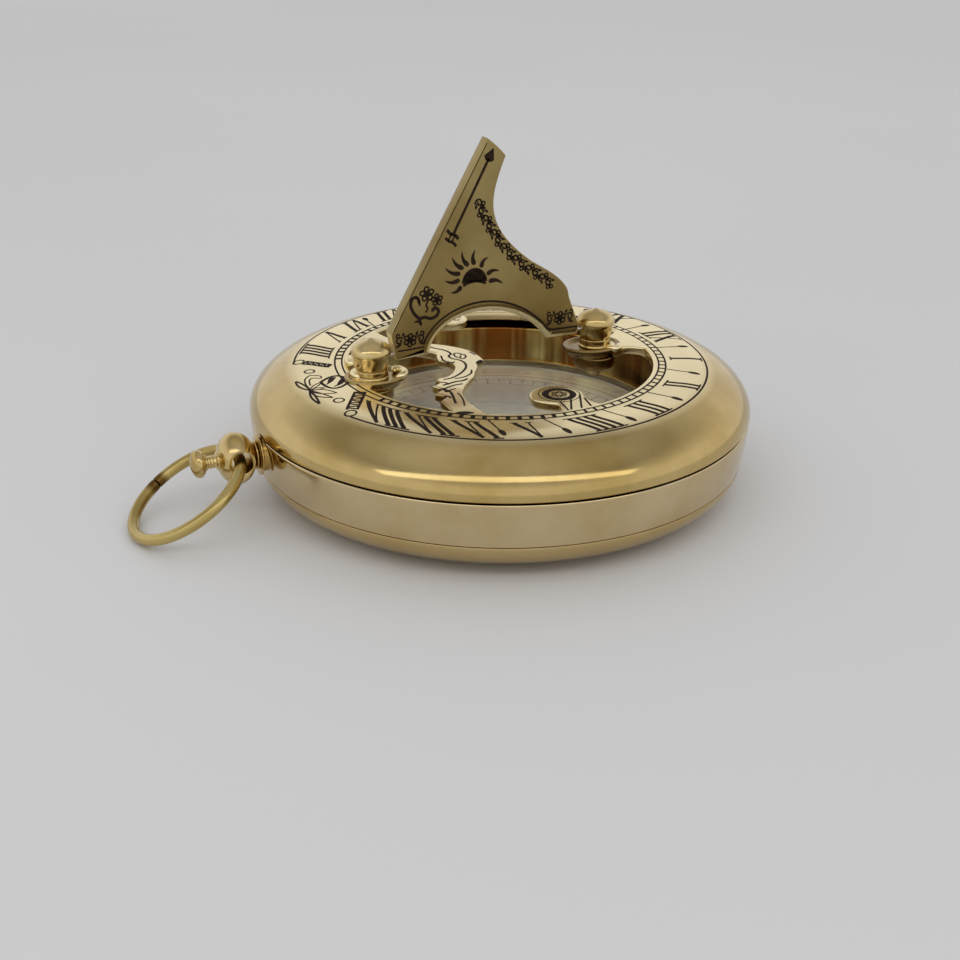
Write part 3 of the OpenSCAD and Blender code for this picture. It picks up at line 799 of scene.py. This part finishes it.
# lotus, its letter plate, its two rings, and the scale's two end bars
lotus_root = np.array([1.1, -30.55])
for tip, bend, width, thick in (
        ((-3.6, -31.2), 0.03, 0.72, 0.3), ((-0.9, -28.1), 0.02, 0.62, 0.22),
        ((1.45, -28.4), 0.03, 0.6, 0.2), ((4.1, -27.5), -0.03, 1.4, 0.24),
        ((5.5, -28.6), -0.08, 0.9, 0.24), ((6.25, -30.8), -0.03, 0.55, 0.32)):
    ring_lines += petal(lotus_root, np.array(tip), bend, width, thick)
ring_lines.append((curve([(0.8, -30.45), (-1.5, -30.35), (-3.3, -29.85), (-4.3, -28.7),
                          (-3.45, -27.5), (-2.5, -27.75), (-3.1, -28.75), (-2.4, -29.5),
                          (-0.5, -29.95)], 5), 0.24))
for centre in ((-6, -28.3), (6.85, -28.15)):
    ring_lines.append((arc(centre, 0.74, 0, 360, 25), 0.28))
leaf_middle, leaf_way, leaf_side = np.array([(-0.15, -26.3), (0.378, 0.926), (0.926, -0.378)])
t = np.linspace(-1, 1, 25)[:, None]
for half in (2.5, -2.5):
    ring_lines.append((leaf_middle + 2.1 * t * leaf_way + half * (1 - t**2) * leaf_side, 0.5))
# the letter is what stands between two dark hooks
hook_width = [0.2, 0.5, 0.72, 0.85, 0.9, 0.85, 0.7, 0.5, 0.35, 0.25, 0.2]
for points in ([(-2, -25.6), (-1.6, -26.3), (-0.5, -27.05), (0.3, -27.75)],
               [(-1.15, -24.8), (-0.1, -25.3), (0.95, -26.1), (1.5, -27)]):
    hook = curve(points, 4)
    ring_lines.append((hook, np.interp(np.linspace(0, 10, len(hook)), np.arange(11), hook_width)))
for start, end, width, boss in (((5.4, -24.5), (10.8, -27.6), 1.5, (11.75, -28.15)),
                                ((-7.1, -24.9), (-10.2, -27.85), 1.15, (-11, -28.4))):
    start, end = np.array([start, end])
    way, side = run_of(start, end)
    for edge in (side * width / 2, -side * width / 2):
        ring_lines.append((line(start + edge, end + edge, 15), 0.42))
    for k in range(9):
        centre = start + (end - start) * (k + 0.5) / 9
        reach = side * width * 0.42 + way * 0.15 * (-1) ** k
        ring_lines.append((line(centre - reach, centre + reach, 4), 0.36))
    ring_lines += [(line(start - side * width * 0.62, start + side * width * 0.62, 4), 0.6),
                   (arc(boss, 0.82, 0, 360, 25), 0.3)]
engraved("dial_engraving", ring_lines, on_lid, dial_ink)

# Cut lines of the tabs: the bird's scroll, eye and feathers, the rings round the
# loop's boss, its rays, and the flowers on the loop and the knob.
tab_lines = [
    (curve([(-13.4, -9.6), (-11.2, -8.9), (-8.3, -7.6), (-6.7, -6.5), (-5.6, -6.15), (-4.5, -6.2),
            (-4.05, -6.7), (-3.31, -6.96), (-2.47, -6.78), (-1.5, -6.1), (-0.3, -5.85), (1, -6.1),
            (2.2, -6.7), (3.5, -7.8), (4.5, -9), (5.2, -10.2), (5.4, -11.6)], 6), 0.36),
    (curve([(-4.4, -7.9), (-2.6, -8.35), (-1.55, -8.2), (-0.9, -7.6), (-1.1, -7)], 6), 0.3),
    (curve([(-4, -4.75), (-4.6, -5.2), (-4.3, -5.8), (-3.3, -6), (-2.5, -5.8)], 6), 0.3),
    (curve([(-3.4, -5.1), (-3.75, -4.7), (-3.3, -4.4), (-2.6, -4.55), (-2, -5), (-1.9, -5.5),
            (-2.5, -5.55), (-3.05, -5.2)], 5), 0.3),
    (curve([(-4.4, -3.15), (-3.6, -3), (-2.7, -2.9)], 5), 0.3),
    (line((0.75, -4.2), (-0.2, -3), 7), [0.3, 0.62, 0.7, 0.7, 0.7, 0.62, 0.4]),
    (curve([(5.7, -9.9), (5.6, -8.6), (5.1, -7.5), (4.2, -6.6), (3.2, -6.2)], 6), 0.3),
    (curve([(7.6, -12.6), (7.2, -11.4), (6.9, -10.3), (6.9, -9.2), (6.4, -8.2)], 6), 0.42),
    (curve([(8.9, -12.9), (8.4, -11.8), (8.1, -10.7), (8.1, -9.7)], 6), 0.36),
    (curve([(10.2, -13.1), (9.7, -12.2), (9.5, -11.4)], 6), 0.32),
    (curve([(8.6, -13.2), (10.3, -12.7), (11.7, -12.9), (13.2, -13.3), (14.9, -13.75)], 6), 0.4),
    (curve([(11.2, -11.9), (12.8, -12), (14.5, -12.4), (16.2, -13)], 6), 0.26),
    (curve([(6.2, -12.4), (6.8, -11.8), (7.6, -11.7)], 6), 0.34),
    (curve([(9, -14), (9.3, -13.2), (10.3, -13.2)], 6), 0.34),
    (curve([(11.8, -14.3), (11.9, -13.6), (12.7, -13.6)], 6), 0.34),
]
t = np.linspace(-1, 1, 11)
tab_lines.append((np.c_[18.6 + 1.25 * t * 0.45, -14.0 + 1.25 * t], 0.95 * (1 - t**2) + 0.05))
loop_eye = np.array([17.35, 1.15])
for radius, thick in ((2.95, 0.15), (2.24, 0.42), (1.88, 0.42), (1.62, 0.2)):
    tab_lines.append((arc(loop_eye, radius, 0, 360, 61), thick))
for start, end in (((19.8, 0), (23.4, -0.5)), ((19.7, 1.8), (23.3, 0)),
                   ((18.6, 3.8), (23.3, 1.6)), ((20, 3.75), (23.1, 3.2))):
    tab_lines.append((line(start, end, 6), 0.3))
for turn in np.radians(60 * np.arange(6)):
    way = np.array([math.sin(turn), math.cos(turn)])
    tab_lines += [(arc(loop_eye + 0.8 * way, 0.3, 0, 360, 15), 0.2),
                  (arc(knob + 1.5 * way, 0.45, 0, 360, 13), 0.18)]
tab_lines.append((arc(knob, 0.55, 0, 360, 19), 0.2))
engraved("lid_tab_engraving", tab_lines, lambda flat, height: on_level(flat, tab_z + height),
         dial_ink)

# Posts: two turned brass acorns that stand on the tabs. Their studs go down
# through them into round nuts, and a pin in each carries the gnomon.
# the acorns' colour runs in upright painted streaks of reflected light and shade
turned_brass = brass("turned_brass", (0.72, 0.56, 0.27), (0.54, 0.38, 0.13), 0.13, 0.12,
                     streaks=0.00001)
# the nuts' dark brown brass is painted shade for where they lie under the tabs
painted_shade_nut_brass = brass("painted_shade_nut_brass", (0.42, 0.29, 0.11), (0.16, 0.085, 0.03), 0.20, 0.15)
post_foot = 19.1
acorn_post = np.vstack([
    rounded([[0, -4.6], [1, -4.6], [1.08, -4.5], [1.08, 0], [1.05, 0]], 0.06, 2),
    rounded([[1.05, 0], [2.5, 0], [2.5, 0.22], [2.38, 0.34], [2.38, 1.2], [2.34, 1.3],
             [2.38, 1.4]], 0.08, 3),
    cubic((2.38, 1.4), (2.5, 1.9), (2.62, 2.6), (2.65, 3.45))[1:],
    [[2.7, 3.56], [2.9, 3.6], [2.95, 3.72]],
    cubic((2.95, 3.8), (2.9, 5.05), (1.6, 5.45), (0.75, 5.66), 14),
    cubic((0.75, 5.66), (0.45, 5.74), (0.2, 5.9), (0, 6), 6)[1:],
])
nut_side = rounded([[1.12, -3.6], [2.6, -3.6], [3.1, -3.2], [3.2, -2.7], [3.2, -1.42],
                    [1.12, -1.42]], 0.18, 3)
for name, y in (("south", south_y), ("north", north_y)):
    turned(name + "_post_acorn", acorn_post, (turned_brass, "turned_brass", name + "_post"),
           (0, y, post_foot), 96, 30.0)
    turned(name + "_post_nut_ring", nut_side, (painted_shade_nut_brass, "turned_brass", name + "_post_nut"),
           (0, y, post_foot), 72)

# Gnomon: a plate cut and filed from 2 mm brass, its arch and feet filed round, with a
# painted highlight of paler brass along their lower rounded edges, hinged on two steel pins.
hinge_z, plate_half, foot_z = 22.15, 1.0, -0.7
plate_brass = brass("plate_brass", (0.38, 0.29, 0.12), (0.28, 0.20, 0.07), 0.30, 0.12)
# pale, less metallic brass for the lower rounded edges: a painted highlight
edge_highlight_brass = brass("edge_highlight_brass", (1.0, 0.86, 0.52), (0.86, 0.70, 0.36), 0.26, 0.10)
edge_highlight_brass.node_tree.nodes["Principled BSDF"].inputs["Metallic"].default_value = 0.6


def on_plate(flat, depth):
    """Points across and up from the hinge line, at a depth from the middle plane."""
    return np.c_[np.broadcast_to(depth, (len(flat),)), flat[:, 0], flat[:, 1] + hinge_z]


# the arch: a shallow circle from the north foot up to the crown, then an ellipse
crown_y, crown_z, arch_r = -3.4, 4.95, 13.73
arch_half = np.linspace(11.1, 0.0, 31)
arch_right = np.c_[crown_y + arch_half, crown_z - arch_r + np.sqrt(arch_r**2 - arch_half**2)]
arch_left = oval((crown_y, foot_z), (8.3, crown_z - foot_z), 90, 180, 22)[1:]
style_foot, style_tip, point_top = (-18, 3.3), (-2.85, 30.35), (0, 27.75)
style = np.vstack([line((-17.2, foot_z), style_foot, 3), line(style_foot, style_tip, 12)[1:-1]])
back_edge = np.vstack([
    cubic(style_tip, (-1.8, 29.6), (-0.8, 28.7), point_top, 5),
    cubic(point_top, (-2.4, 21.75), (-3.8, 18), (4.7, 11.7), 22)[1:],
    cubic((4.7, 11.7), (8, 9.8), (10.7, 8), (10.95, 5.9), 12)[1:],
    rounded([(10.95, 5.9), (11.05, 5.5), (12.8, 1), (12.9, foot_z)], 0.2, 2)[1:],
])
outline = np.vstack([style, back_edge, arch_right, arch_left])
filed = np.repeat([0.10, 0.16, 0.9, 1.1, 1.25, 1.1],
                  [len(style), len(back_edge) - 1, 1, 1, len(arch_right) + len(arch_left) - 2, 1])
keep = without_doubles(outline)
plate = slab("gnomon_plate_cut", outline[keep], -plate_half, plate_half, filed[keep], on_plate,
             (plate_brass, "antique_brass", "gnomon_plate"), 35.0, "gnomon").data
plate.materials.append(edge_highlight_brass)
face_middle, face_way = np.empty((2, 3 * len(plate.polygons)))
plate.polygons.foreach_get("center", face_middle)
plate.polygons.foreach_get("normal", face_way)
# down-facing faces of the rounded edges below the hinge take the painted highlight
is_painted_highlight = ((np.abs(face_way[0::3]) < 0.985) & (face_way[2::3] < 0.3)
             & (face_middle[2::3] * 1000 < hinge_z + 6.2))
plate.polygons.foreach_set("material_index", is_painted_highlight.astype(np.int32))

# Engraving of the gnomon, the same on both faces and filled with dark wax: an
# arrow along the style, a half sun, two flowers on a stem, a vine along the
# hollow edge, and a flower over each foot.


def spiral(centre, outer, inner, first, last, count):
    """A line that winds from an outer to an inner radius about a centre."""
    turn = np.radians(np.linspace(first, last, count))
    reach = np.linspace(outer, inner, count)
    return np.c_[centre[0] + reach * np.cos(turn), centre[1] + reach * np.sin(turn)]


def ring(centre, radius, count=15):
    return spiral(centre, radius, radius, 0, 360, count)


def rosette(centre, size, petals=5):
    """Small rings about a filled middle."""
    parts = [(ring(centre, 0.16 * size), 0.3 * size)]
    for turn in 2 * np.pi * np.arange(petals) / petals + 0.4:
        way = np.array([np.cos(turn), np.sin(turn)])
        parts.append((ring(centre + 0.66 * size * way, 0.31 * size), 0.28))
    return parts


def leaf(root, tip, broad):
    """A filled leaf, pointed at both ends."""
    return line(root, tip, 9), broad * np.sin(np.pi * np.linspace(0, 1, 9)) + 0.05


plate_lines = [(line((-2.97, 29.73), (-17.53, 3.72), 3), 0.13)]
# arrow
tail, head = np.array([(-8.05, 17.3), (-1.95, 28.9)])
way, side = run_of(tail, head)
plate_lines += [(line(tail, head - way * 1.6, 4), 0.42),
                (np.array([head - way * 1.95, head - way * 1.5, head]), [0.9, 1.75, 0.1]),
                (curve([(-9.15, 17.85), (-8.6, 17.25), (-7.9, 17), (-7.35, 16.35)], 4), 0.5),
                (curve([(-9.4, 16.75), (-8.9, 16.2), (-8.2, 15.9), (-7.7, 15.3)], 4), 0.42)]
for shift in (side * 0.3, -side * 0.3):
    plate_lines.append((line(tail + shift - way * 0.1, tail + shift - way * 1.4), 0.26))
# half sun: a dark dome over a hollow base, with nine horns that start at the
# bare ring round it, each bent and drawn out to a point
sun_y, sun_z = -4.78, 9.55
turn = np.radians(np.linspace(2, 178, 27))
for size in 1.0 - 0.14 * np.arange(7):
    plate_lines.append((np.c_[sun_y + 1.86 * size * np.cos(turn),
                              sun_z + 0.25 * (1 - size) + 2.1 * size * np.sin(turn)], 0.36))
base = np.linspace(-6.6, -2.95, 15)
plate_lines.append((np.c_[base, 9.3 + 0.5 * (1 - ((base - sun_y) / 1.83) ** 2)], 0.42))
t = np.linspace(0, 1, 13)
for root, tip in zip(
        np.array([(-6.9, 9.3), (-7.15, 10.3), (-7.05, 11.2), (-6.55, 11.9), (-5.75, 12.25),
                  (-4.8, 12.3), (-3.7, 11.75), (-2.8, 10.6), (-2.5, 9.55)]),
        np.array([(-8.6, 8.5), (-9.5, 10.4), (-9.45, 12.3), (-8.35, 13.8), (-6.8, 14.5),
                  (-4.7, 14.5), (-2.6, 13.2), (-0.8, 10.95), (-0.2, 8.95)])):
    bent = run_of(root, tip)[1] * (0.34 * np.sin(np.pi * t))[:, None]
    plate_lines.append((root + (tip - root) * t[:, None] + bent,
                        0.8 * np.minimum(1, 0.45 + 4 * t) * (1 - t) ** 0.75 + 0.05))
# two flowers on a scrolled stem
plate_lines += rosette((-12.3, 8.75), 1.12) + rosette((-10.75, 7.7), 0.9)
plate_lines += [(curve([(-12.05, 7.9), (-12.45, 7.1), (-12.2, 6.6), (-12.55, 6)], 6), 0.3),
                (curve([(-13.5, 7.6), (-13.75, 8.25), (-14.2, 8.45), (-14.65, 8.2), (-14.85, 7.3),
                        (-14.5, 6.3), (-14, 5.65), (-13.5, 5.2), (-12.7, 5.3), (-11.7, 5),
                        (-10.85, 5.3), (-10.5, 5.95), (-10.85, 6.45), (-11.35, 6.4),
                        (-11.45, 6)], 7), 0.5),
                leaf((-13.6, 5.2), (-13.2, 4), 0.5), leaf((-14.4, 4.75), (-13.4, 4.85), 0.34),
                leaf((-13.4, 7), (-13.6, 7.9), 0.34)]
# vine: curls with rings and leaves, each turned the other way than the last
vine = [(-4.15, 21.3), (-3.7, 20.1), (-3.1, 18.9), (-2.4, 17.8), (-1.7, 16.7), (-1, 15.6),
        (-0.1, 14.5), (0.9, 13.4), (1.8, 12.5), (2.9, 11.6), (4, 10.8), (5.2, 10),
        (6.3, 9.2), (7.4, 8.3)]
for k, (centre, left) in enumerate(zip(vine, square_to(vine))):
    hand = 1 if k % 2 else -1
    way, side = np.array([left[1], -left[0]]), left * hand
    turn = np.degrees(np.arctan2(side[1], side[0]))
    plate_lines += [(spiral(centre, 0.62, 0.14, turn, turn + 440 * hand, 22), 0.3),
                    (ring(centre - side * 0.62 + way * 0.35, 0.26, 13), 0.24),
                    (ring(centre - side * 0.25 + way * 0.8, 0.24, 13), 0.24),
                    leaf(centre + side * 0.45, centre + side * 0.8 + way * 0.7, 0.36)]
# flowers over the feet
for centre in np.array([(9.5, 2.45), (-15.0, 2.1)]):
    plate_lines += rosette(centre, 1.0, 6)
    for side in (1, -1):
        base, turn = centre + [side * 1.65, 0.05], 90 + 60 * side
        curl_base = base + [0.2 * side, 0.85]
        plate_lines += [(spiral(base, 0.62, 0.16, turn, turn - 420 * side, 20), 0.28),
                        (spiral(curl_base, 0.36, 0.12, 270, 270 + 300 * side, 13), 0.26),
                        leaf(base + [-0.3 * side, -0.5], base + [0.7 * side, -0.95], 0.4),
                        leaf(base + [-0.7 * side, 0.5], base + [-0.5 * side, 1.25], 0.36)]
# groove that follows the arch and the feet, just inside their rounded edge
groove_right = arch_right + [-0.25, 1.6]
groove_left = oval((crown_y, foot_z), (9.85, 7.25), 90, 172, 22)
plate_lines += [(np.vstack([line((12.5, 0.75), (8.4, 0.75), 3),
                            groove_right[groove_right[:, 1] > 0.9]]), 0.32),
                (groove_left[groove_left[:, 1] > 0.85], 0.32),
                (line((-12.8, 0.78), (-16.9, 0.62), 3), 0.26)]
plate_ink = dark_fill("plate_wax", *wax)
for name, way in (("gnomon_engraving_east", 1), ("gnomon_engraving_west", -1)):
    engraved(name, plate_lines, lambda flat, height: on_plate(flat, way * (plate_half + height)),
             plate_ink, "gnomon")

# Pendant: a turned collar screwed into the band from outside, a ball with a
# cross bore for the bow, and a finial in the ball's far side.
pendant_z, ball_y, ball_r, ball_length, ball_side = 9.7, 41.7, 3.8, 2.85, 3.0
bow_y, bow_z, bore_r = 41.4, 10.0, 1.6
turned("pendant_collar_turned", rounded([
    [0, 36.2], [2.5, 36.2], [2.5, 38.15], [3, 38.28], [3, 38.47], [2.4, 38.62], [1.5, 38.66],
    [1.5, 38.7], [2.1, 38.78], [2.1, 39], [1.6, 39.1], [1.2, 39.2], [0, 39.2]], 0.1, 3),
    (turned_brass, "turned_brass", "pendant_collar"), (0, 0, pendant_z), 96, out=True)
dress("pendant_nut", turned_brass)


def drilled_ball():
    """A ball that is shorter along the pendant than across it, flat at both
    sides and drilled through them. At each turn about the drill's axis its
    outline is half an ellipse, cut at the flats, that then runs in to the bore."""
    turn = np.linspace(0, 2 * np.pi, 96, endpoint=False)
    reach = 1 / np.sqrt((np.cos(turn) / ball_length) ** 2 + (np.sin(turn) / ball_r) ** 2)
    lean = math.asin(ball_side / ball_r)
    outline = np.linspace(-lean, lean, 41)[:, None]
    out = reach * np.cos(outline)
    rows = [np.stack([ball_r * np.sin(outline) + 0 * turn, -ball_y + out * np.cos(turn),
                      pendant_z + out * np.sin(turn)], -1)]
    for wider, level in ((0.22, ball_side), (0.07, ball_side - 0.05), (0.0, ball_side - 0.2),
                         (0.0, 0.2 - ball_side), (0.07, 0.05 - ball_side), (0.22, -ball_side)):
        radius = bore_r + wider
        rows.append(np.stack([level + 0 * turn, -bow_y + radius * np.cos(turn),
                              bow_z + radius * np.sin(turn)], -1)[None])
    points = np.concatenate(rows)
    solid("pendant_ball_turned", points.reshape(-1, 3), grid_faces(len(points), len(turn), True),
          (turned_brass, "turned_brass", "pendant_ball"), 38.0)


drilled_ball()
turned("pendant_finial_turned", np.vstack([
    rounded([[0, 43.9], [1.3, 43.9], [1.3, 44.52], [1.12, 44.62], [0.9, 44.7], [0.9, 45.1],
             [1, 45.2], [0.9, 45.3], [0.9, 45.5], [1, 45.6], [0.9, 45.7], [0.9, 45.9],
             [1.15, 46.05]], 0.06, 2),
    oval((0, 47.15), (2.05, 1.15), -55, 78, 24), [[0.25, 48.33], [0, 48.34]]]),
    (turned_brass, "turned_brass", "pendant_finial"), (0, 0, pendant_z), 72, out=True)

# Bow: a ring bent from drawn brass wire through the ball's bore, its two ends
# brought together in a fine join, where it has darkened.
bow_r, wire_r, along_count, round_count = 9.0, 0.85, 220, 28
droop = math.asin((bow_z - wire_r - 0.02) / (2 * bow_r))
bow_down = np.array([0, -math.cos(droop), -math.sin(droop)])
bow_out = np.cross(bow_down, [1, 0, 0])
bow_middle = np.array([0, -bow_y, bow_z]) + bow_r * bow_down


def spoke_of_bow(turn):
    """Unit vectors in the bow's plane, from east at 0 towards its far end."""
    return np.cos(turn)[..., None] * [1, 0, 0] + np.sin(turn)[..., None] * bow_down


join_at, join_half, join_round = math.radians(161), math.radians(0.35), 0.010
wire_brass = brass("wire_brass", (0.58, 0.45, 0.17), (0.40, 0.28, 0.08), 0.22, 0.14,
                   patina_and_painted_shade=[(bow_middle + bow_r * spoke_of_bow(join_at), 2.2, (0.30, 0.22, 0.15))])
first, last = join_at + join_half, join_at + 2 * np.pi - join_half
turn = np.linspace(first, last, along_count)
turn[[1, -2]] = [first + join_round, last - join_round]
thick = np.full(along_count, wire_r)
thick[[0, -1]] -= 0.10
round_turn = np.linspace(0, 2 * np.pi, round_count, endpoint=False)[:, None]
outward = spoke_of_bow(turn)[:, None]
bow_points = bow_middle + bow_r * outward + thick[:, None, None] * (
    np.cos(round_turn) * outward + np.sin(round_turn) * bow_out)
bow_count = along_count * round_count
bow_faces = grid_faces(along_count, round_count, False) + [
    list(range(round_count)), list(range(bow_count - round_count, bow_count))]
solid("bow_wire_ring", bow_points.reshape(-1, 3), bow_faces, (wire_brass, "wire_brass", "bow_ring"),
      40.0, "bow")
